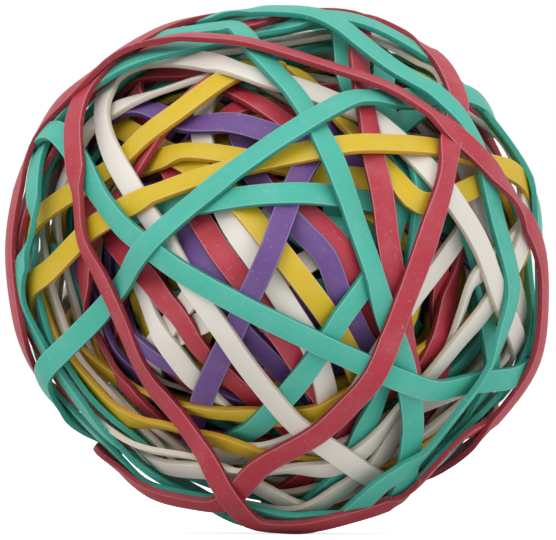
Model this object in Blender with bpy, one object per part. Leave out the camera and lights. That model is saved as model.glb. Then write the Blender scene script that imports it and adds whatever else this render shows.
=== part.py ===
"""Rubber band ball: a wound core with stretched rubber bands laid over one another round it.

The bands are wound in the order in which they lie, the lowest first. Each one is a closed loop that is
pulled tight over everything wound before it: it bears on the high places and spans straight between them.
Metres, +Z up, the side shown in the photograph facing -Y, and the origin in the middle of the ball.
"""

import math

import bpy
import numpy as np
from mathutils import Vector
from mathutils.bvhtree import BVHTree

# The ball over its outermost bands, and how deep the bands lie on the wound core that can't be seen
# into: at its sides, at its front and back, and at its top and bottom.
BALL_WIDTH = 0.0752
BALL_DEPTH = 0.0740
BALL_HEIGHT = 0.0732
DEEP_AT_SIDES = 0.0168
DEEP_AT_FRONT = 0.0050
DEEP_AT_TOP = 0.0190
CORE_SUBDIVISIONS = 3

# One stretched band, cut from a flat tube of rubber, and the air left between two that cross.
BAND_WIDTH = 0.0032
BAND_THICKNESS = 0.00055
REST_GAP = 0.00015

# The ball in the photograph, in its pixels: its middle, and from there to its edge across and up.
PHOTO_MIDDLE = (277, 269.5)
PHOTO_REACH = (272, 264.5)

# A place that looks to lie at the ball's very edge is taken to lie this many degrees in front of it.
EDGE_ANGLE = 6

# How a route is drawn: as a girth of the ball that leans in WAVES waves and fewer, and STIFFNESS is how
# much a band resists bending sideways. HOLD is how firmly its hidden part keeps to the chosen leans.
WAVES = 24
STIFFNESS = 0.015
HOLD = 0.35

# How a route is followed: in steps. A band spans over a dip in what is under it when the dip is no
# longer than SPANNED steps, and lies in it when it is longer.
STEPS = 360
SPANNED = 18
PLACES_ACROSS = 7
LOOKS_AT_PHOTO = 3

# The hidden part of a band leans to one side or the other, to where the ball is lowest, as whoever
# winds it keeps it round. The leans are in degrees, and COARSE is every how many steps is measured.
# A lean that brings the band to the photographed side, SHOWING_DEPTH of the way to its middle or more,
# costs as much as a ball that is SHOWING_COSTS higher.
SEED = 6
SWAYS_TRIED = 40
SWAY_PLACES = 3
MOST_SWAY = 26
COARSE = 6
PEAK_COUNTS = 0.7
SHOWING_DEPTH = 0.3
SHOWING_COSTS = 0.025

# The cross-sections of one band's solid, and how the straight runs between them settle.
SECTIONS = 24
FIRST_SECTIONS = 20
NEAREST_SECTIONS = 5
SETTLING_ROUNDS = 6
SETTLED_WITHIN = 0.000005

COLOURS = {
    "crimson": (0.45, 0.055, 0.085),
    "teal": (0.055, 0.43, 0.33),
    "white": (0.76, 0.72, 0.65),
    "yellow": (0.72, 0.50, 0.03),
    "purple": (0.13, 0.065, 0.24),
}
CORE_COLOUR = (0.10, 0.05, 0.09)
RUBBER_ROUGHNESS = 0.55

# The bands in the order in which they are wound, each with points that it passes in the photograph.
WINDINGS = [
    ("purple", [(190, 243), (203, 270), (224, 294), (243, 306)]),
    ("crimson", [(303, 225), (322, 238), (338, 258), (346, 277)]),
    ("purple", [(478, 298), (485, 325), (483, 348), (468, 366)]),
    ("yellow", [(400, 262), (418, 280), (438, 302)]),
    ("purple", [(300, 243), (318, 256), (332, 277), (334, 296)]),
    ("purple", [(135, 325), (158, 343), (185, 362), (205, 378)]),
    ("white", [(135, 108), (155, 96), (180, 94), (205, 104)]),
    ("yellow", [(150, 108), (175, 107), (225, 122), (255, 133)]),
    ("yellow", [(104, 255), (98, 275), (93, 293)]),
    ("white", [(77, 208), (76, 232), (82, 265), (85, 285)]),
    ("crimson", [(128, 300), (127, 325), (130, 350)]),
    ("purple", [(220, 28), (245, 24), (275, 20)]),
    ("yellow", [(262, 43), (290, 38), (318, 48), (335, 62)]),
    ("teal", [(242, 48), (255, 35), (275, 26), (305, 25)]),
    ("teal", [(475, 310), (468, 340), (458, 370), (448, 395)]),
    ("purple", [(482, 122), (495, 143), (508, 163), (520, 200)]),
    ("yellow", [(435, 468), (460, 452), (478, 430), (486, 415)]),
    ("teal", [(110, 112), (125, 98), (145, 88), (158, 84)]),
    ("crimson", [(208, 240), (222, 260), (240, 283)]),
    ("white", [(230, 228), (248, 255), (268, 283), (285, 310), (303, 335)]),
    ("yellow", [(253, 228), (266, 246), (290, 275), (312, 302), (328, 325)]),
    ("crimson", [(168, 86), (205, 96), (240, 109), (270, 124), (290, 137)]),
    ("purple", [(112, 118), (140, 123), (165, 127), (205, 133), (240, 140), (270, 146)]),
    ("white", [(150, 300), (165, 325), (185, 350), (205, 370)]),
    ("crimson", [(88, 218), (125, 257), (155, 288), (182, 313), (205, 343), (235, 378)]),
    ("yellow", [(142, 182), (165, 168), (190, 163), (225, 166), (260, 174), (330, 190), (388, 195), (425, 197)]),
    ("white", [(466, 150), (478, 183), (487, 215), (491, 245), (498, 280), (508, 312)]),
    ("white", [(550, 250), (545, 285), (534, 318), (525, 348), (510, 380)]),
    ("purple", [(300, 190), (288, 220), (275, 255), (262, 290), (222, 370), (212, 400), (200, 430)]),
    ("teal", [(27, 268), (70, 262), (100, 247), (170, 221), (215, 214), (255, 209), (295, 207), (335, 209),
              (417, 224), (452, 238)]),
    ("yellow", [(95, 362), (112, 370), (145, 382), (175, 400), (210, 411), (250, 408), (300, 408), (332, 397)]),
    ("crimson", [(70, 280), (78, 302), (97, 332), (115, 360), (140, 397), (170, 425), (200, 445), (222, 454)]),
    ("crimson", [(300, 512), (325, 488), (345, 460), (365, 438), (385, 420)]),
    ("teal", [(400, 52), (412, 68), (419, 90), (415, 118), (410, 142), (407, 190), (401, 215), (393, 245),
              (362, 297), (343, 323), (322, 350), (288, 393), (265, 415), (243, 435), (225, 457)]),
    ("white", [(135, 440), (158, 465), (183, 483), (211, 492), (250, 490), (285, 482), (323, 476), (354, 466),
               (376, 456), (398, 443), (422, 428), (440, 417)]),
    ("white", [(205, 470), (235, 458), (265, 445), (290, 432), (315, 424), (335, 408), (350, 390)]),
    ("white", [(44, 345), (54, 392), (66, 417), (85, 434), (112, 449), (135, 471), (154, 486), (170, 497)]),
    ("yellow", [(50, 345), (64, 382), (83, 406), (102, 423), (142, 439), (163, 451), (192, 465), (211, 469)]),
    ("teal", [(47, 385), (57, 418), (78, 447), (108, 473), (140, 495), (170, 507), (195, 508)]),
    ("teal", [(372, 33), (385, 52), (395, 72), (405, 92)]),
    ("white", [(222, 22), (262, 8), (310, 6), (352, 18), (390, 38), (420, 56), (435, 75), (440, 90), (446, 113)]),
    ("teal", [(245, 16), (270, 13), (300, 17), (330, 25), (350, 40), (362, 52)]),
    ("white", [(522, 244), (508, 259), (494, 269), (468, 287), (453, 322), (443, 359), (434, 388)]),
    ("yellow", [(118, 188), (140, 165), (165, 140), (190, 118), (215, 102), (242, 93), (290, 80), (340, 74)]),
    ("white", [(297, 506), (331, 497), (354, 485), (371, 472), (387, 459), (404, 444)]),
    ("white", [(310, 443), (285, 418), (262, 390), (225, 340), (205, 308), (165, 243), (138, 208), (122, 183),
               (104, 145), (97, 125), (95, 107), (101, 91), (114, 78), (134, 71), (174, 71), (204, 75), (231, 80),
               (256, 87), (275, 95), (300, 103), (335, 113), (380, 132), (400, 152), (430, 184), (453, 212),
               (467, 235), (487, 269), (503, 300), (512, 322)]),
    ("crimson", [(366, 15), (368, 45), (360, 75), (358, 105), (366, 135), (372, 165), (378, 205), (385, 245),
                 (391, 280), (396, 310), (403, 350), (410, 395), (414, 440)]),
    ("yellow", [(22, 298), (40, 275), (58, 253), (80, 241), (103, 231), (130, 217), (160, 204), (190, 193),
                (225, 180), (300, 168), (345, 160), (372, 153), (400, 151), (430, 158), (465, 167), (505, 178),
                (530, 190)]),
    ("crimson", [(232, 17), (200, 27), (150, 50), (105, 72), (78, 88), (58, 113), (42, 137), (30, 170),
                 (20, 208)]),
    ("teal", [(42, 165), (33, 200), (22, 240), (14, 280), (12, 310), (17, 345), (27, 378), (45, 422), (62, 450),
              (82, 468), (105, 487), (125, 503)]),
    ("teal", [(497, 420), (480, 447), (455, 470), (425, 489), (390, 501), (366, 508)]),
    ("teal", [(487, 101), (510, 121), (530, 150), (541, 180), (546, 215), (548, 255)]),
    ("teal", [(180, 43), (200, 35), (222, 35), (243, 47), (262, 72), (290, 103), (325, 155), (345, 205),
              (360, 250), (372, 290), (390, 335), (402, 375), (411, 430), (415, 475)]),
    ("teal", [(62, 158), (76, 177), (94, 202), (107, 221), (130, 242), (165, 268), (200, 290), (250, 318),
              (300, 344), (340, 361), (365, 374), (400, 388), (430, 397), (460, 404), (504, 398)]),
    ("teal", [(32, 388), (55, 355), (78, 325), (110, 295), (145, 262), (200, 212), (260, 168), (320, 129),
              (370, 109), (430, 96), (475, 103), (500, 117)]),
    ("crimson", [(427, 48), (448, 65), (461, 90), (462, 112), (452, 140), (446, 170), (438, 210), (428, 250),
                 (417, 285), (400, 325), (380, 365), (350, 412), (320, 448), (290, 480), (262, 498), (235, 508),
                 (200, 517), (160, 520), (130, 513)]),
    ("teal", [(527, 285), (522, 315), (508, 350), (490, 385), (465, 413), (435, 443), (400, 475), (360, 500),
              (320, 513), (290, 519)]),
    ("crimson", [(98, 80), (85, 95), (72, 112), (60, 138), (51, 165), (47, 200), (46, 232), (52, 262), (60, 292),
                 (72, 330), (85, 365), (100, 397), (118, 430), (140, 460), (168, 482), (200, 501), (240, 514),
                 (275, 525), (320, 527), (366, 519), (405, 507)]),
    ("crimson", [(62, 108), (80, 86), (105, 69), (130, 58), (175, 50), (220, 53), (260, 60), (300, 69),
                 (350, 82), (400, 102), (450, 136), (490, 175), (518, 222), (538, 268), (546, 300), (541, 338),
                 (522, 397), (503, 430), (483, 448)]),
]


def rubber(name, colour):
    """A rubber of one colour, dyed right through."""
    made = bpy.data.materials.new(name)
    made.use_nodes = True
    surface = made.node_tree.nodes["Principled BSDF"]
    surface.inputs["Base Color"].default_value = (*colour, 1)
    surface.inputs["Roughness"].default_value = RUBBER_ROUGHNESS
    surface.inputs["Metallic"].default_value = 0
    return made


def seen_direction(pixel, height):
    """The direction from the ball's middle to a point of the photograph that lies at this height."""
    across = (pixel[0] - PHOTO_MIDDLE[0]) / PHOTO_REACH[0] * BALL_WIDTH / 2 / height
    up = (PHOTO_MIDDLE[1] - pixel[1]) / PHOTO_REACH[1] * BALL_HEIGHT / 2 / height
    inside = min(1, math.cos(math.radians(EDGE_ANGLE)) / math.hypot(across, up))
    across, up = across * inside, up * inside
    return np.array((across, -math.sqrt(1 - across**2 - up**2), up))


def unit(vectors):
    return vectors / np.linalg.norm(vectors, axis=-1, keepdims=True)


def waves_at(angles):
    """The level part, rise and fall of each wave round the ball, at these angles."""
    turns = np.outer(angles, np.arange(1, WAVES + 1))
    return np.hstack([np.ones((len(turns), 1)), np.cos(turns), np.sin(turns)])


def gentle_leans(angles, leans, firmness):
    """The lean at each of STEPS angles of a stiff band that is held to these leans at these angles."""
    bend = STIFFNESS * np.arange(1, WAVES + 1) ** 2
    held = waves_at(angles) * firmness[:, None]
    stiff = np.diag(np.concatenate([[0], bend, bend]))
    wanted = np.concatenate([leans * firmness, np.zeros(len(stiff))])
    sizes = np.linalg.lstsq(np.vstack([held, stiff]), wanted, rcond=None)[0]
    return waves_at(np.arange(STEPS) * 2 * math.pi / STEPS) @ sizes


def evenly_stepped(line):
    """A closed line's directions, spaced so that each of the steps along it is equally long."""
    closed = np.vstack([line, line[:1]])
    along = np.concatenate([[0], np.cumsum(np.linalg.norm(np.diff(closed, axis=0), axis=1))])
    wanted = np.arange(STEPS) / STEPS * along[-1]
    return unit(np.stack([np.interp(wanted, along, closed[:, k]) for k in range(3)], axis=1))


def route_past(directions, sways):
    """A closed route round the ball past these directions: one direction for each step. sways are how
    far the rest of it leans to one side of a full girth, in degrees, at places spread over it."""
    passed = np.array(directions)
    normal = unit(np.cross(passed[:-1], passed[1:]).sum(axis=0))
    middle = passed.mean(axis=0)
    ahead = unit(middle - normal * (middle @ normal))
    beside = np.cross(normal, ahead)
    seen = np.arctan2(passed @ beside, passed @ ahead)
    rest = np.linspace(seen.max(), seen.min() + 2 * math.pi, len(sways) + 2)[1:-1]
    angles = np.concatenate([seen, rest])
    leans = np.concatenate([np.arcsin(passed @ normal), np.radians(sways)])
    firmness = np.concatenate([np.ones(len(seen)), np.full(len(rest), HOLD)])
    lean = gentle_leans(angles, leans, firmness)
    steps = np.arange(STEPS) * 2 * math.pi / STEPS
    girth = np.outer(np.cos(steps), ahead) + np.outer(np.sin(steps), beside)
    return evenly_stepped(girth * np.cos(lean)[:, None] + np.outer(np.sin(lean), normal))


def sideways_along(route):
    """The direction across the band at each step, level with the ball's surface."""
    onward = np.roll(route, -1, axis=0) - np.roll(route, 1, axis=0)
    return unit(np.cross(route, onward))


def bearing_heights(route, across, wound):
    """How far out the underside of a band has to lie to clear all that is wound."""
    half = BAND_WIDTH / 2 + REST_GAP
    heights = []
    for direction, side in zip(route, across):
        highest = 0
        for place in np.linspace(-half, half, PLACES_ACROSS):
            outward = Vector(direction * BALL_HEIGHT / 2 + side * place).normalized()
            met = wound.ray_cast(outward * BALL_WIDTH, -outward)[0]
            highest = max(highest, met.dot(Vector(direction)))
        heights.append(highest + REST_GAP)
    return np.array(heights)


def run_height(before, after, steps_before, steps_after):
    """The height of the straight run between two heights, at a place that many steps from each."""
    step = 2 * math.pi / STEPS
    first, last = np.sin(steps_before * step), np.sin(steps_after * step)
    whole = np.sin((steps_before + steps_after) * step)
    return before * after * whole / (before * first + after * last)


def stretched(heights):
    """The heights of a tight band over these: it runs straight over each dip that it spans."""
    tight = heights.copy()
    for before in range(1, SPANNED):
        for after in range(1, SPANNED - before + 1):
            run = run_height(np.roll(heights, before), np.roll(heights, -after), before, after)
            tight = np.maximum(tight, run)
    return tight


def sections_along(tight):
    """The (step, height) pairs of a band's cross-sections: some spread evenly, then each further one
    where the straight runs between them are furthest from the tight band."""
    start = int(np.argmax(tight))
    chosen = [start + round(k * STEPS / FIRST_SECTIONS) for k in range(FIRST_SECTIONS + 1)]
    while len(chosen) <= SECTIONS:
        worst, place = 0, None
        for first, last in zip(chosen, chosen[1:]):
            for step in range(first + NEAREST_SECTIONS, last - NEAREST_SECTIONS + 1):
                run = run_height(tight[first % STEPS], tight[last % STEPS], step - first, last - step)
                if abs(run - tight[step % STEPS]) > worst:
                    worst, place = abs(run - tight[step % STEPS]), step
        chosen = sorted(chosen + [place])
    return [(step % STEPS, tight[step % STEPS]) for step in chosen[:-1]]


def lowest_sways(directions, wound, chance):
    """The sways that take the hidden part of a route past these directions where the ball is lowest."""
    best, chosen = math.inf, None
    for _ in range(SWAYS_TRIED):
        sways = chance.uniform(-MOST_SWAY, MOST_SWAY, SWAY_PLACES)
        route = route_past(directions, sways)
        heights = bearing_heights(route[::COARSE], sideways_along(route)[::COARSE], wound)
        showing = np.mean(route[:, 1] < -SHOWING_DEPTH)
        pile = np.mean(heights) + PEAK_COUNTS * np.max(heights) + SHOWING_COSTS * showing
        if pile < best:
            best, chosen = pile, sways
    return chosen


def directions_at(seen, heights):
    return [seen_direction(pixel, height) for pixel, height in zip(seen, heights)]


def laid_over(seen, wound, chance):
    """The route of a band past the seen pixels over all that is wound, the directions across it, and
    its height at each step. It is looked at again once the heights at those pixels are known."""
    heights = [BALL_HEIGHT / 2] * len(seen)
    sways = lowest_sways(directions_at(seen, heights), wound, chance)
    for _ in range(LOOKS_AT_PHOTO):
        directions = directions_at(seen, heights)
        route = route_past(directions, sways)
        across = sideways_along(route)
        tight = stretched(bearing_heights(route, across, wound))
        heights = [tight[np.argmax(route @ direction)] + BAND_THICKNESS for direction in directions]
    return route, across, tight


def corners_of(route, across, section):
    """The four corners of a band's cross-section: two under and two over, flat to the ball."""
    step, height = section
    outward, side = Vector(route[step]), Vector(across[step]) * BAND_WIDTH / 2
    under, over = outward * height, outward * (height + BAND_THICKNESS)
    return under - side, under + side, over + side, over - side


def place_on_run(near, far, along, beside):
    """A point of the flat run between two sections, given as shares of its length and width. The run is
    two triangles that meet on the line from its near left corner to its far right one."""
    start = near[0]
    onward = (far[0] - start) * max(along - beside, 0)
    across = (near[1] - start) * max(beside - along, 0)
    return start + onward + across + (far[1] - start) * min(along, beside)


def shortfall(route, across, here, there, wound):
    """How much too low the underside of a band lies between two of its sections."""
    near, far = corners_of(route, across, here), corners_of(route, across, there)
    count = max(2, (there[0] - here[0]) % STEPS)
    margin = REST_GAP / BAND_WIDTH
    worst = 0
    for along in np.linspace(0, 1, count + 1):
        for beside in np.linspace(-margin, 1 + margin, PLACES_ACROSS):
            place = place_on_run(near, far, along, beside)
            outward = place.normalized()
            met = wound.ray_cast(outward * BALL_WIDTH, -outward)[0]
            worst = max(worst, met.length + REST_GAP - place.length)
    return worst


def settled(route, across, sections, wound):
    """The sections lifted just enough for the straight runs between them to clear what is wound."""
    count = len(sections)
    for _ in range(SETTLING_ROUNDS):
        lifts = [0] * count
        for k in range(count):
            short = shortfall(route, across, sections[k], sections[(k + 1) % count], wound)
            lifts[k] = max(lifts[k], short)
            lifts[(k + 1) % count] = max(lifts[(k + 1) % count], short)
        if max(lifts) < SETTLED_WITHIN:
            break
        sections = [(step, height + lift) for (step, height), lift in zip(sections, lifts)]
    return sections


def add_object(name, points, faces, material):
    mesh = bpy.data.meshes.new(name)
    mesh.from_pydata(points, [], faces)
    mesh.materials.append(material)
    mesh.validate()
    made = bpy.data.objects.new(name, mesh)
    bpy.context.scene.collection.objects.link(made)
    return made


def core_shape():
    """Points and faces of the wound core, a slightly flattened ball."""
    bpy.ops.mesh.primitive_ico_sphere_add(subdivisions=CORE_SUBDIVISIONS, radius=1)
    ball = bpy.context.object
    wide = BALL_WIDTH / 2 - DEEP_AT_SIDES
    deep = BALL_DEPTH / 2 - DEEP_AT_FRONT
    high = BALL_HEIGHT / 2 - DEEP_AT_TOP
    points = [point.co * Vector((wide, deep, high)) for point in ball.data.vertices]
    faces = [tuple(face.vertices) for face in ball.data.polygons]
    bpy.data.objects.remove(ball)
    return points, faces


def band_shape(route, across, sections):
    """Points and faces of one band: a loop of rectangular sections, flat to the ball."""
    points = [corner for section in sections for corner in corners_of(route, across, section)]
    faces = []
    count = len(sections)
    for k in range(count):
        here, there = 4 * k, 4 * ((k + 1) % count)
        for corner in range(4):
            following = (corner + 1) % 4
            faces.append((here + corner, here + following, there + following))
            faces.append((here + corner, there + following, there + corner))
    return points, faces


def wind_ball():
    """Makes the core and every band, each on top of those before it, and returns their objects."""
    rubbers = {colour: rubber(colour + "_rubber", shade) for colour, shade in COLOURS.items()}
    core_points, core_faces = core_shape()
    made = [add_object("wound_core", core_points, core_faces, rubber("core_rubber", CORE_COLOUR))]
    wound_points, wound_faces = list(core_points), list(core_faces)
    chance = np.random.default_rng(SEED)
    for number, (colour, seen) in enumerate(WINDINGS):
        wound = BVHTree.FromPolygons(wound_points, wound_faces)
        route, across, tight = laid_over(seen, wound, chance)
        sections = settled(route, across, sections_along(tight), wound)
        points, faces = band_shape(route, across, sections)
        made.append(add_object(f"band_{number + 1:02d}_{colour}", points, faces, rubbers[colour]))
        first = len(wound_points)
        wound_points += points
        wound_faces += [tuple(first + corner for corner in face) for face in faces]
    return made


def middle_of(objects):
    """The middle of the box round these objects."""
    corners = np.array([point.co for made in objects for point in made.data.vertices])
    return (corners.min(axis=0) + corners.max(axis=0)) / 2


for old in list(bpy.data.objects):
    bpy.data.objects.remove(old)
ball_middle = bpy.data.objects.new("ball_middle", None)
bpy.context.scene.collection.objects.link(ball_middle)
pieces = wind_ball()
for piece in pieces:
    piece.parent = ball_middle
ball_middle.location = -Vector(middle_of(pieces))
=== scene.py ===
# %% [markdown]
# A rubber band ball is made by stretching one band after another round a tight wad of older ones. Every
# band is a flat closed loop that lies over some bands and under others. The CAD frame gives one node for
# each outer band, in the order in which they are wound, and one for the wound middle. This notebook takes
# each band's route from its node and winds the ball again with fine, soft-edged rubber.

import math

import bpy
import numpy as np
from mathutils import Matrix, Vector


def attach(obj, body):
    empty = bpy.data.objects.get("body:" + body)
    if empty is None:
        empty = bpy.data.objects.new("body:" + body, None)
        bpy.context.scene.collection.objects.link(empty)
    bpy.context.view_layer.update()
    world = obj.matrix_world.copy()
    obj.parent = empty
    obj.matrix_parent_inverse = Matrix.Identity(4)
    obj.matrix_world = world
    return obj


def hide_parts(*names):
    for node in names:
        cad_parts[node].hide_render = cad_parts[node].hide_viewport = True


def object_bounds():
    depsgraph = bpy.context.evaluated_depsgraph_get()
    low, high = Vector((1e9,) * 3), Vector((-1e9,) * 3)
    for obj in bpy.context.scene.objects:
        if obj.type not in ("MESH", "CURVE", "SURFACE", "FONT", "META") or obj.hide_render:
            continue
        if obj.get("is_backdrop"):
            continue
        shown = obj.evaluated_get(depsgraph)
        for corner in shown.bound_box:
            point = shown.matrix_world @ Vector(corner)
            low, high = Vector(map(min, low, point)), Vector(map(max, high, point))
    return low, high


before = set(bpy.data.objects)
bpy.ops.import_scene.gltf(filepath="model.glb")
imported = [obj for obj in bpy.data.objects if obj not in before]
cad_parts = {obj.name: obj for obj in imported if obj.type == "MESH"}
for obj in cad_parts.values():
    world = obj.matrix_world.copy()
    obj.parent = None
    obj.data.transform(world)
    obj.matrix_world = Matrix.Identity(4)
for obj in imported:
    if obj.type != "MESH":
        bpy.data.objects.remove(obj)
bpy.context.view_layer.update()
band_names = sorted(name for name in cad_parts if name.startswith("band_"))
print(len(band_names), "bands in the frame")

# %% [markdown]
# The sizes are those of a common office band, 1/8 inch wide and 1/32 inch thick. Rubber gives way where
# two bands press on each other, so each one sinks 0.15 mm into what it lies on. The older bands and the
# middle under them are as big as leaves half of the outer rubber within about 0.1 mm above its nodes or
# lower, while a few places lie 3 mm above. All lengths are in metres, as everywhere in Blender.

# %% Sizes of the rubber
MM = 0.001
BAND_WIDTH = 3.2 * MM
BAND_THICKNESS = 0.80 * MM
EDGE_ROUNDING = 0.13 * MM
SINK = 0.15 * MM
INNER_BANDS = 30
START_RADII = np.array((18.0, 28.0, 15.5)) * MM
STEPS = 360
turn = np.arange(STEPS) * 2 * math.pi / STEPS


# %% [markdown]
# A band's route is read from its node by cutting the node with half-planes round an axis, as one slices a
# bagel. Each slice crosses the band once, and the middle of the crossing gives the direction of the route
# there and how far out it runs. A band that leans a lot, or turns a corner, is crossed twice by a slice
# round a poor axis, which shows as a wide crossing. So several axes are tried, and the one whose widest
# crossing is the narrowest is kept. The node is made of straight runs, so the result is smoothed.

# %% Read a band's route from its node
AXES_TRIED = 60
GOLDEN_ANGLE = math.pi * (3 - math.sqrt(5))
CHECKED_EVERY = 12
ROUTE_SMOOTHED = 6
FAR_SMOOTHED = 3
OFF_AXIS = (0.31, 0.52, 0.79)


def smooth(values, reach):
    """Values round a closed loop, averaged over reach steps to each side with a soft weight."""
    steps = np.arange(-reach, reach + 1)
    weights = np.cos(steps / (reach + 1) * math.pi / 2) ** 2
    return sum(w * np.roll(values, k, axis=0) for w, k in zip(weights / weights.sum(), steps))


def unit(vectors):
    """These vectors, made one long."""
    return vectors / np.linalg.norm(vectors, axis=-1, keepdims=True)


def sliced(ends, axis, angles):
    """Cuts edges with half-planes that stand on an axis. Returns the middle direction of each crossing,
    how far out its middle lies, and how wide it is as seen from the ball's middle."""
    ahead = unit(np.cross(axis, OFF_AXIS))
    outward = np.outer(np.cos(angles), ahead) + np.outer(np.sin(angles), np.cross(axis, ahead))
    distance = ends @ np.cross(axis, outward).T
    crossed = (distance[:, 0] < 0) != (distance[:, 1] < 0)
    share = distance[:, 0] / np.where(crossed, distance[:, 0] - distance[:, 1], 1)
    met = ends[:, 0, None] + share[..., None] * (ends[:, 1] - ends[:, 0])[:, None]
    crossed &= (met * outward).sum(axis=-1) > 0
    far = np.linalg.norm(met, axis=-1)
    lean = np.arcsin(met @ axis / far)
    low, high = np.where(crossed, lean, math.pi).min(axis=0), np.where(crossed, lean, -math.pi).max(axis=0)
    near, out = np.where(crossed, far, 1).min(axis=0), np.where(crossed, far, 0).max(axis=0)
    middle = ((low + high) / 2)[:, None]
    return outward * np.cos(middle) + axis * np.sin(middle), (near + out) / 2, np.abs(high - low)


def route_of(node):
    """The directions from the ball's middle to the middle of the band at even steps, and how far out the
    band runs there."""
    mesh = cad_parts[node].data
    points = np.array([tuple(p.co) for p in mesh.vertices])
    ends = points[np.array([tuple(edge.vertices) for edge in mesh.edges])]
    tried = [np.linalg.svd(points)[2][-1]]
    for number in range(AXES_TRIED):
        up = (number + 0.5) / AXES_TRIED
        round_up = number * GOLDEN_ANGLE
        level_part = np.array((math.cos(round_up), math.sin(round_up), 0)) * math.sqrt(1 - up ** 2)
        tried.append(level_part + (0, 0, up))
    widest = [sliced(ends, axis, turn[::CHECKED_EVERY])[2].max() for axis in tried]
    directions, far, _ = sliced(ends, tried[int(np.argmin(widest))], turn)
    gone = np.linalg.norm(np.roll(directions, -1, axis=0) - directions, axis=1)
    reached = np.concatenate(([0], np.cumsum(gone)))
    even = np.arange(STEPS) * reached[-1] / STEPS
    read = np.column_stack((directions, far))
    read = np.column_stack([np.interp(even, reached, np.append(row, row[0])) for row in read.T])
    return unit(smooth(read[:, :3], ROUTE_SMOOTHED)), smooth(read[:, 3], FAR_SMOOTHED)


routes = {name: route_of(name) for name in band_names}
print("routes read, the first one runs", (routes[band_names[0]][1].mean() / MM).round(1), "mm out")


# %% [markdown]
# Winding needs to know how far out rubber already lies in every direction. A map answers that: the
# directions are sorted into small cells on the six faces of a cube, and each cell holds a radius. Laying
# a band raises the cells that it covers. This is much faster than casting rays at a growing mesh.

# %% A map of how far out the rubber lies
CELLS = 300
heights_map = np.zeros((6, CELLS, CELLS))


def cells_of(directions):
    """The map's cells in these directions, as three index arrays."""
    size = np.abs(directions)
    main = size.argmax(axis=-1)
    others = np.array(((1, 2), (2, 0), (0, 1)))[main]
    along = np.take_along_axis(directions, main[..., None], axis=-1)[..., 0]
    sides = np.take_along_axis(directions, others, axis=-1) / np.abs(along)[..., None]
    spots = np.clip(((np.arctan(sides) / (math.pi / 4) + 1) / 2 * CELLS).astype(int), 0, CELLS - 1)
    return main * 2 + (along > 0), spots[..., 0], spots[..., 1]


def fill_with_core(radii):
    """Sets the map to the surface of the ball's middle, which is wider one way than another."""
    spots = (np.arange(CELLS) + 0.5) / CELLS * 2 - 1
    down, over = np.meshgrid(np.tan(spots * math.pi / 4), np.tan(spots * math.pi / 4), indexing="ij")
    for main in range(3):
        for side in (0, 1):
            way = np.zeros((CELLS, CELLS, 3))
            way[..., main] = 2 * side - 1
            way[..., (1, 2, 0)[main]], way[..., (2, 0, 1)[main]] = down, over
            way = unit(way)
            heights_map[main * 2 + side] = 1 / np.sqrt(((way / radii) ** 2).sum(axis=-1))


fill_with_core(START_RADII)
print("map of", heights_map.size, "cells,", round(BAND_WIDTH / (START_RADII.mean() * math.pi / 2 / CELLS)),
      "of them across a band")


# %% [markdown]
# Each band is laid in four moves. Its footprint is read from the map, at places across its width. It
# tilts towards the lower side, as a strap does on an uneven parcel. It is pulled tight, so that it spans
# straight over a dip between two high places. Last, the corners of that tight line are rounded, because
# rubber bends in a curve. A band of the frame also keeps the level of its node, or lies higher where more
# rubber is under it. The result is a centre line and the direction that the band's face looks.

# %% Lay one band
FOOTPRINT = 0.53
FOOTPRINT_PLACES = 9
ACROSS = np.linspace(-FOOTPRINT, FOOTPRINT, FOOTPRINT_PLACES) * BAND_WIDTH
MOST_TILT = 0.24
TILT_SMOOTHED = 22
SPANNED = 24
BEND_SPREAD = 1
BEND_SMOOTHED = 7
USUAL_REACH = 34 * MM
RAISED_BETWEEN = 4
RAISED_ACROSS = 25


def run_height(before, after, steps_before, steps_after):
    """The height of a straight run between two heights, at a place that many steps from each."""
    first, last = math.sin(turn[steps_before]), math.sin(turn[steps_after])
    return before * after * math.sin(turn[steps_before + steps_after]) / (before * first + after * last)


def stretched(heights):
    """The heights of a tight band over these."""
    tight = heights.copy()
    for before in range(1, SPANNED):
        for after in range(1, SPANNED - before + 1):
            run = run_height(np.roll(heights, before), np.roll(heights, -after), before, after)
            tight = np.maximum(tight, run)
    return tight


def rounded(heights):
    """These heights with gentle bends in place of corners, and hardly lower at their peaks."""
    spread = [np.roll(heights, step) for step in range(-BEND_SPREAD, BEND_SPREAD + 1)]
    return smooth(np.max(spread, axis=0), BEND_SMOOTHED)


def lay_band(route, level=0):
    """Lays a band along a route, with its centre line no lower than the level before the bends are
    rounded. Returns the centre line, and the directions in which the band's face looks."""
    across = unit(np.cross(route, np.roll(route, -1, axis=0) - np.roll(route, 1, axis=0)))
    ways = unit(route[:, None] * USUAL_REACH + across[:, None] * ACROSS[None, :, None])
    found = heights_map[cells_of(ways)] * (ways * route[:, None]).sum(axis=-1)
    middle = len(ACROSS) // 2
    left, right = found[:, :middle].mean(axis=1), found[:, middle + 1:].mean(axis=1)
    slope = np.clip(smooth((right - left) / (BAND_WIDTH / 2), TILT_SMOOTHED), -MOST_TILT, MOST_TILT)
    base = (found - slope[:, None] * ACROSS).max(axis=1)
    raised = BAND_THICKNESS / 2 - SINK
    base = rounded(stretched(np.maximum(base, level - raised)))
    outward = unit(route - across * slope[:, None])
    sideways = unit(across + route * slope[:, None])
    centre = route * base[:, None] + outward * raised
    raise_map(centre, outward, sideways)
    return centre, outward


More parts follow.
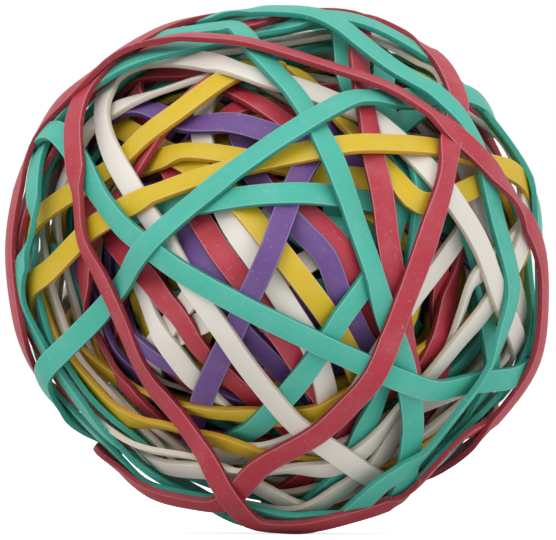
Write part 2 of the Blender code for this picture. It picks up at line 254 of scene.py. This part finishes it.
def raise_map(centre, outward, sideways):
    """Raises the map under a band that has just been laid."""
    shares = np.linspace(0, 1, RAISED_BETWEEN, endpoint=False)
    line, face, side = (
        np.concatenate([rows + (np.roll(rows, -1, axis=0) - rows) * share for share in shares])
        for rows in (centre, outward, sideways))
    places = np.linspace(-0.5, 0.5, RAISED_ACROSS) * BAND_WIDTH
    top = line[:, None] + face[:, None] * BAND_THICKNESS / 2 + side[:, None] * places[None, :, None]
    far = np.linalg.norm(top, axis=-1)
    np.maximum.at(heights_map, cells_of(top / far[..., None]), far)


# %% [markdown]
# Under the bands of the frame lie older ones that show only in the gaps. They are wound first, round a
# smaller middle, each along a full girth of the ball that wavers a little. Their axes are spread evenly:
# for each new band, several random axes are tried and the one furthest from all others is taken.

# %% Wind the inner bands
INNER_SEED = 41
AXES_DRAWN = 24
OFF_INNER_AXIS = (0.27, 0.48, 0.83)
WAVER = 0.07
WAVER_TURN = 6.3
chance = np.random.default_rng(INNER_SEED)
inner_colours = ["crimson", "purple", "teal", "purple", "white", "yellow", "crimson", "teal"]
inner_axes = []
inner_bands = {colour: [] for colour in sorted(set(inner_colours))}
for number in range(INNER_BANDS):
    tried = unit(chance.normal(size=(AXES_DRAWN, 3)))
    if inner_axes:
        nearness = np.abs(tried @ np.array(inner_axes).T).max(axis=1)
        tried = tried[nearness.argmin()][None]
    axis = tried[0]
    inner_axes.append(axis)
    ahead = unit(np.cross(axis, OFF_INNER_AXIS))
    girth = np.outer(np.cos(turn), ahead) + np.outer(np.sin(turn), np.cross(axis, ahead))
    waver = sum(chance.normal(0, WAVER) * np.sin(turn * k + chance.uniform(0, WAVER_TURN)) for k in (1, 2))
    laid = lay_band(unit(girth + axis * waver[:, None]))
    inner_bands[inner_colours[number % len(inner_colours)]].append(laid)
print("inner bands reach out to", (heights_map.max() / MM).round(1), "mm")

# %% [markdown]
# The bands of the frame follow, in the order of their numbers, which is the order of winding. Each one is
# laid over those before it, so it passes over and under its neighbours as its node does.

# %% Wind the bands of the frame
BELOW_NODE = 0.4 * MM
outer_bands = {}
above_node = []
for name in band_names:
    route, far = routes[name]
    outer_bands[name] = lay_band(route, far - BELOW_NODE)
    above_node.append(np.linalg.norm(outer_bands[name][0], axis=1) - far)
print("outer bands lie", (np.percentile(above_node, (5, 50, 95)) / MM).round(2), "mm above their nodes")


# %% [markdown]
# Where many bands cross on the ball's outside, the taut rubber squeezes the pile. So what lies further out
# than 35.6 mm is drawn in by half of its excess. The same rule moves every band, so what lay over still
# lies over, and the ball comes out rounder. In the piles the bands then sink further into each other.

# %% Squeeze the outermost piles
SQUEEZED_FROM = 35.6 * MM
SQUEEZED_TO = 0.5


def squeezed(centre):
    """A centre line with a share of what lies further out than the limit drawn in."""
    far = np.linalg.norm(centre, axis=1, keepdims=True)
    excess = np.maximum(far - SQUEEZED_FROM, 0)
    return centre * (np.minimum(far, SQUEEZED_FROM) + SQUEEZED_TO * excess) / far


outer_bands = {name: (squeezed(centre), outward) for name, (centre, outward) in outer_bands.items()}
furthest = max(np.linalg.norm(centre, axis=1).max() for centre, _ in outer_bands.values())
print("outer bands now reach", (furthest / MM).round(1), "mm")


# %% [markdown]
# Geometry Nodes turn a centre line into rubber. A rectangle with rounded corners is the band's section,
# and Curve to Mesh sweeps it along the line, turned so that it looks outward. The sweep needs no caps,
# because the line is closed. The place on the section is stored as an attribute, so that the material
# can tell the cut sides of a band from its faces.

# %% A node tree that sweeps a band along its line
CORNER_STEPS = 2


def add_node(tree, kind, links=(), **settings):
    """Adds a node. settings are its own properties, and links sets its inputs: a name or number of the
    input with a value, or with the socket of another node."""
    node = tree.nodes.new(kind)
    for key, value in settings.items():
        setattr(node, key, value)
    for key, value in dict(links).items():
        if isinstance(value, bpy.types.NodeSocket):
            tree.links.new(value, node.inputs[key])
        else:
            node.inputs[key].default_value = value
    return node


def band_tree():
    """The tree that turns a closed centre line into a swept band."""
    tree = bpy.data.node_groups.new("swept_band", "GeometryNodeTree")
    plan = tree.interface
    plan.new_socket("Geometry", in_out="INPUT", socket_type="NodeSocketGeometry")
    for label in ("Width", "Thickness", "Rounding"):
        plan.new_socket(label, in_out="INPUT", socket_type="NodeSocketFloat")
    plan.new_socket("Rubber", in_out="INPUT", socket_type="NodeSocketMaterial")
    plan.new_socket("Geometry", in_out="OUTPUT", socket_type="NodeSocketGeometry")
    given = tree.nodes.new("NodeGroupInput").outputs
    outward = add_node(tree, "GeometryNodeInputNamedAttribute", {"Name": "outward"},
                       data_type="FLOAT_VECTOR")
    line = add_node(tree, "GeometryNodeMeshToCurve", {"Mesh": given["Geometry"]})
    turned = add_node(tree, "GeometryNodeSetCurveNormal",
                      {"Curve": line.outputs["Curve"], "Normal": outward.outputs["Attribute"]}, mode="FREE")
    section = add_node(tree, "GeometryNodeCurvePrimitiveQuadrilateral",
                       {"Width": given["Thickness"], "Height": given["Width"]})
    soft_edged = add_node(tree, "GeometryNodeFilletCurve",
                          {"Curve": section.outputs["Curve"], "Count": CORNER_STEPS,
                           "Radius": given["Rounding"]}, mode="POLY")
    place = add_node(tree, "GeometryNodeInputPosition")
    parts = add_node(tree, "ShaderNodeSeparateXYZ", {0: place.outputs[0]})
    share = add_node(tree, "ShaderNodeMath", {0: parts.outputs["Y"], 1: given["Width"]},
                     operation="DIVIDE")
    marked = add_node(tree, "GeometryNodeStoreNamedAttribute",
                      {"Geometry": soft_edged.outputs["Curve"], "Name": "across",
                       "Value": share.outputs[0]}, data_type="FLOAT", domain="POINT")
    swept = add_node(tree, "GeometryNodeCurveToMesh",
                     {"Curve": turned.outputs["Curve"], "Profile Curve": marked.outputs["Geometry"]})
    smoothed = add_node(tree, "GeometryNodeSetShadeSmooth", {"Geometry": swept.outputs["Mesh"]})
    real = add_node(tree, "GeometryNodeRealizeInstances", {"Geometry": smoothed.outputs["Geometry"]})
    done = add_node(tree, "GeometryNodeSetMaterial",
                    {"Geometry": real.outputs["Geometry"], "Material": given["Rubber"]})
    add_node(tree, "NodeGroupOutput", {0: done.outputs["Geometry"]})
    return tree


swept_band = band_tree()
print("tree", swept_band.name, "with", len(swept_band.nodes), "nodes")


# %% [markdown]
# Office bands are natural rubber, milled with pigment, extruded as a thin tube, cured and sliced. The
# pigment goes right through. The faces are the tube's walls: satin, with a slight bloom of wax that makes
# them paler in clouds, and flecks of the talc that keeps them from sticking. The sliced sides are given a
# deeper colour, partly the cleaner cut rubber and partly painted shade, and a thin pale line along the
# arris between face and side is a painted highlight. Light enters a little way, so the shadows between
# bands stay coloured, which a little subsurface scattering gives.

# %% Rubber materials
def linear(code):
    """A hex colour as the eye reads it, made linear for Blender."""
    shares = [int(code[k:k + 2], 16) / 255 for k in (0, 2, 4)]
    return (*[s / 12.92 if s <= 0.04045 else ((s + 0.055) / 1.055) ** 2.4 for s in shares], 1)


# Each colour has its face, its sliced sides, whose deeper colour is partly painted shade, and how much
# light the rubber scatters inside.
RUBBERS = {
    "crimson": ("B03040", "8F1C2B", 0.10),
    "teal": ("45B09C", "249482", 0.10),
    "white": ("DFD9CF", "CEC4B4", 0.14),
    "yellow": ("D0B01E", "C7980A", 0.10),
    "purple": ("674587", "4A2D66", 0.10),
}


def pale_for_talc_and_highlight(colour):
    """A linear colour made pale, for talc flecks and for the painted highlight along the arris."""
    return tuple(0.6 * share + 0.32 for share in colour[:3]) + (1,)


# Places across a band, where 0 is its middle line and 0.5 the outermost edge.
SIDE_FROM, SIDE_TO = 0.46, 0.49
# Where the painted highlight line along the arris runs, and how far it reaches to each side.
ARRIS = 0.47
ARRIS_REACH = 0.03
CLOUD_SIZE = 4 * MM
FLECK_SIZE = 0.5 * MM
GRAIN_SIZE = 0.35 * MM
GRAIN_DEPTH = 0.04 * MM
GLOW_REACH = 0.5 * MM


def dyed_rubber(name, face_code, side_code_with_shade, glow):
    """Dyed natural rubber: a satin face with bloom, a deeper colour on the sliced sides that is partly
    painted shade, and a painted highlight along the arris.
    """
    made = bpy.data.materials.new(name)
    made.use_nodes = True
    tree = made.node_tree
    surface = tree.nodes["Principled BSDF"]
    place = add_node(tree, "ShaderNodeTexCoord").outputs["Object"]
    across = add_node(tree, "ShaderNodeAttribute", attribute_name="across").outputs["Fac"]
    size = add_node(tree, "ShaderNodeMath", {0: across}, operation="ABSOLUTE").outputs[0]
    # Mask of the sliced sides, which get a deeper colour: partly the cut rubber's own, partly painted
    # shade.
    side = add_node(tree, "ShaderNodeMapRange", {"Value": size, "From Min": SIDE_FROM, "From Max": SIDE_TO})
    cloud = add_node(tree, "ShaderNodeTexNoise", {"Vector": place, "Scale": 1 / CLOUD_SIZE, "Detail": 3.0})
    grain = add_node(tree, "ShaderNodeTexNoise", {"Vector": place, "Scale": 1 / GRAIN_SIZE, "Detail": 2.0})
    face = linear(face_code)
    pale = tuple(min(1, 0.82 * c + 0.16) for c in face[:3]) + (1,)
    bloom = add_node(tree, "ShaderNodeMapRange",
                     {"Value": cloud.outputs["Fac"], "From Min": 0.45, "From Max": 0.75, "To Max": 0.2})
    faces = add_node(tree, "ShaderNodeMix", {0: bloom.outputs[0], 6: face, 7: pale}, data_type="RGBA")
    whole = add_node(tree, "ShaderNodeMix", {0: side.outputs[0], 6: faces.outputs[2], 7: linear(side_code_with_shade)},
                     data_type="RGBA")
    flecks = add_node(tree, "ShaderNodeTexNoise", {"Vector": place, "Scale": 1 / FLECK_SIZE, "Detail": 1.0})
    talc = add_node(tree, "ShaderNodeMapRange",
                    {"Value": flecks.outputs["Fac"], "From Min": 0.67, "From Max": 0.78, "To Max": 0.3})
    # A thin pale line along the arris, where the edge would catch light, is a painted highlight. It shares
    # the pale mix with the talc flecks.
    from_arris = add_node(tree, "ShaderNodeMath", {0: size, 1: ARRIS}, operation="SUBTRACT").outputs[0]
    near_arris = add_node(tree, "ShaderNodeMath", {0: from_arris}, operation="ABSOLUTE").outputs[0]
    arris_highlight = add_node(tree, "ShaderNodeMapRange",
                      {"Value": near_arris, "From Min": 0.0, "From Max": ARRIS_REACH,
                       "To Min": 0.6, "To Max": 0.0})
    talc_and_highlight = add_node(tree, "ShaderNodeMath", {0: talc.outputs[0], 1: arris_highlight.outputs[0]},
                     operation="MAXIMUM")
    marked = add_node(tree, "ShaderNodeMix",
                      {0: talc_and_highlight.outputs[0], 6: whole.outputs[2], 7: pale_for_talc_and_highlight(face)}, data_type="RGBA")
    tree.links.new(marked.outputs[2], surface.inputs["Base Color"])
    rough = add_node(tree, "ShaderNodeMapRange",
                     {"Value": grain.outputs["Fac"], "To Min": 0.42, "To Max": 0.6})
    tree.links.new(rough.outputs[0], surface.inputs["Roughness"])
    bump = add_node(tree, "ShaderNodeBump",
                    {"Height": grain.outputs["Fac"], "Strength": 0.25, "Distance": GRAIN_DEPTH})
    tree.links.new(bump.outputs["Normal"], surface.inputs["Normal"])
    surface.inputs["IOR"].default_value = 1.52
    surface.inputs["Specular IOR Level"].default_value = 0.4
    surface.inputs["Subsurface Weight"].default_value = glow
    surface.inputs["Subsurface Radius"].default_value = (1, 0.7, 0.5)
    surface.inputs["Subsurface Scale"].default_value = GLOW_REACH
    return made


rubbers = {colour: dyed_rubber(f"{colour}_natural_rubber", *look) for colour, look in RUBBERS.items()}
print("materials:", ", ".join(made.name for made in rubbers.values()))


# %% [markdown]
# A helper runs the tree: it makes a mesh of bare edges from the centre lines, stores the outward
# direction on its points, and takes the tree's result as a plain mesh. Fewer points are kept than were
# measured, because a band bends gently.

# %% Make rubber from the centre lines
KEPT = 2


def make_piece(name, laid_bands, rubber):
    """One object for these laid bands, swept by the node tree and made a plain mesh."""
    points = np.concatenate([centre[::KEPT] for centre, _ in laid_bands])
    normals = np.concatenate([outward[::KEPT] for _, outward in laid_bands])
    count = STEPS // KEPT
    edges = [(start + k, start + (k + 1) % count)
             for start in range(0, len(points), count) for k in range(count)]
    mesh = bpy.data.meshes.new(name + "_line")
    mesh.from_pydata(points.tolist(), edges, [])
    stored = mesh.attributes.new("outward", "FLOAT_VECTOR", "POINT")
    stored.data.foreach_set("vector", normals.astype(np.float32).ravel())
    line = bpy.data.objects.new(name + "_line", mesh)
    bpy.context.scene.collection.objects.link(line)
    sweep = line.modifiers.new("sweep", "NODES")
    sweep.node_group = swept_band
    inputs = [item for item in swept_band.interface.items_tree if item.in_out == "INPUT"]
    sockets = {item.name: item.identifier for item in inputs}
    sizes = {"Width": BAND_WIDTH, "Thickness": BAND_THICKNESS, "Rounding": EDGE_ROUNDING, "Rubber": rubber}
    for label, value in sizes.items():
        sweep[sockets[label]] = value
    graph = bpy.context.evaluated_depsgraph_get()
    made = bpy.data.objects.new(name, bpy.data.meshes.new_from_object(line.evaluated_get(graph)))
    bpy.context.scene.collection.objects.link(made)
    bpy.data.objects.remove(line)
    return made


# %% Inner bands
inner_pieces = []
for colour, laid_bands in inner_bands.items():
    piece = make_piece(f"inner_bands_{colour}", laid_bands, rubbers[colour])
    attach(piece, "root")
    inner_pieces.append(piece)
print("inner bands:", sum(len(piece.data.polygons) for piece in inner_pieces), "faces")

# %% Outer bands
for name, laid in outer_bands.items():
    colour = name.split("_")[2]
    piece = make_piece("rubber_" + name, [laid], rubbers[colour])
    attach(piece, "root")
    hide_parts(name)
print("outer bands:", len(outer_bands), "pieces of", len(piece.data.polygons), "faces")

# %% [markdown]
# What is left in the middle shows only at the bottom of the deepest gaps. It is a lumpy ball, longest from
# front to back, in a dark colour that is painted shade for those gaps.

# %% The ball's middle
LUMP_HEIGHT = 0.004
LUMPS_SIDEWAYS, LUMPS_UP = 31, 23
# The middle's dark colours are painted shade for the bottom of the gaps.
MIDDLE_SHADE_LOOK = ("3A2A30", "2A1C22", 0.02)
bpy.ops.mesh.primitive_ico_sphere_add(subdivisions=5, radius=1)
middle = bpy.context.object
middle.name = "dark_middle_for_shade"
for point in middle.data.vertices:
    way = np.array(point.co)
    lump = LUMP_HEIGHT * math.sin(way[0] * LUMPS_SIDEWAYS + way[2] * LUMPS_UP)
    point.co = Vector(way * START_RADII * (1 + lump))
middle.data.materials.append(dyed_rubber("painted_shade_middle", *MIDDLE_SHADE_LOOK))
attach(middle, "root")
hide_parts("wound_core")
print("middle:", len(middle.data.polygons), "faces")

# %% [markdown]
# The picture is taken from straight in front with a long lens, so the ball shows almost without
# perspective. The floor is plain and pale and the ball only just touches it. Soft light comes from large
# panels above and in front, and the white around the ball comes from the world, as the camera sees it.

# %% Camera
DISTANCE = 3.0
SENSOR_WIDTH = 36
IMAGE = (556, 540)
BALL_IN_IMAGE = (277, 269.5)
PIXELS_ACROSS = 544
ball_low, ball_high = (np.array(corner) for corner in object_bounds())
ball_across = ball_high[0] - ball_low[0]
camera_data = bpy.data.cameras.new("camera")
camera = bpy.data.objects.new("camera", camera_data)
bpy.context.scene.collection.objects.link(camera)
bpy.context.scene.camera = camera
camera_data.lens = SENSOR_WIDTH * DISTANCE * PIXELS_ACROSS / IMAGE[0] / ball_across
camera_data.clip_start, camera_data.clip_end = 0.01, 20
per_pixel = ball_across / PIXELS_ACROSS
centre = (ball_low + ball_high) / 2
camera.location = (centre[0] + (IMAGE[0] / 2 - BALL_IN_IMAGE[0]) * per_pixel, -DISTANCE,
                   centre[2] + (BALL_IN_IMAGE[1] - IMAGE[1] / 2) * per_pixel)
camera.rotation_euler = (math.pi / 2, 0, 0)
print("ball is", round(ball_across / MM, 1), "mm across, lens", round(camera_data.lens), "mm")

# %% Floor
FLOOR_REACH = 3
FLOOR_GREY = 0.75
FLOOR_BRIGHTNESS = 0.7
corners = [(x * FLOOR_REACH, y * FLOOR_REACH, 0) for x, y in ((-1, -1), (1, -1), (1, 1), (-1, 1))]
floor_mesh = bpy.data.meshes.new("floor")
floor_mesh.from_pydata(corners, [], [(0, 1, 2, 3)])
floor = bpy.data.objects.new("floor", floor_mesh)
floor.location.z = ball_low[2]
bpy.context.scene.collection.objects.link(floor)
pale = bpy.data.materials.new("pale_floor")
pale.use_nodes = True
tree = pale.node_tree
tree.nodes.clear()
camera_ray = add_node(tree, "ShaderNodeLightPath").outputs["Is Camera Ray"]
paint = add_node(tree, "ShaderNodeBsdfDiffuse", {"Color": (FLOOR_GREY, FLOOR_GREY, FLOOR_GREY, 1)})
bright = add_node(tree, "ShaderNodeEmission", {"Color": (1, 1, 1, 1), "Strength": FLOOR_BRIGHTNESS})
both = add_node(tree, "ShaderNodeAddShader", {0: paint.outputs[0], 1: bright.outputs[0]})
shown = add_node(tree, "ShaderNodeMixShader", {0: camera_ray, 1: paint.outputs[0], 2: both.outputs[0]})
add_node(tree, "ShaderNodeOutputMaterial", {"Surface": shown.outputs[0]})
floor_mesh.materials.append(pale)
floor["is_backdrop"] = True
print("floor at", round(floor.location.z / MM, 1), "mm")

# %% World and lights
LIGHT_AROUND = 0.92
WHITE_BEHIND = 1.0
# Each panel has its name, its place and width in metres, and its power in watts.
PANELS = (
    ("key_panel", (-0.35, -0.75, 0.75), 0.5, 3.4),
    ("fill_panel", (0.7, -0.7, 0.2), 0.6, 1.6),
)
world = bpy.data.worlds.new("studio")
world.use_nodes = True
bpy.context.scene.world = world
tree = world.node_tree
tree.nodes.clear()
camera_ray = add_node(tree, "ShaderNodeLightPath").outputs["Is Camera Ray"]
around = add_node(tree, "ShaderNodeBackground", {"Color": (1, 1, 1, 1), "Strength": LIGHT_AROUND})
behind = add_node(tree, "ShaderNodeBackground", {"Color": (1, 1, 1, 1), "Strength": WHITE_BEHIND})
seen = add_node(tree, "ShaderNodeMixShader", {0: camera_ray, 1: around.outputs[0], 2: behind.outputs[0]})
add_node(tree, "ShaderNodeOutputWorld", {"Surface": seen.outputs[0]})


def soft_panel(name, place, size, power):
    """A square area light that looks at the ball."""
    light = bpy.data.lights.new(name, "AREA")
    light.size, light.energy = size, power
    made = bpy.data.objects.new(name, light)
    made.location = place
    made.rotation_euler = (-Vector(place)).to_track_quat("-Z", "Y").to_euler()
    bpy.context.scene.collection.objects.link(made)


for panel in PANELS:
    soft_panel(*panel)
bpy.context.scene.view_settings.view_transform = "Standard"
print(len(PANELS), "soft panels and a white world")
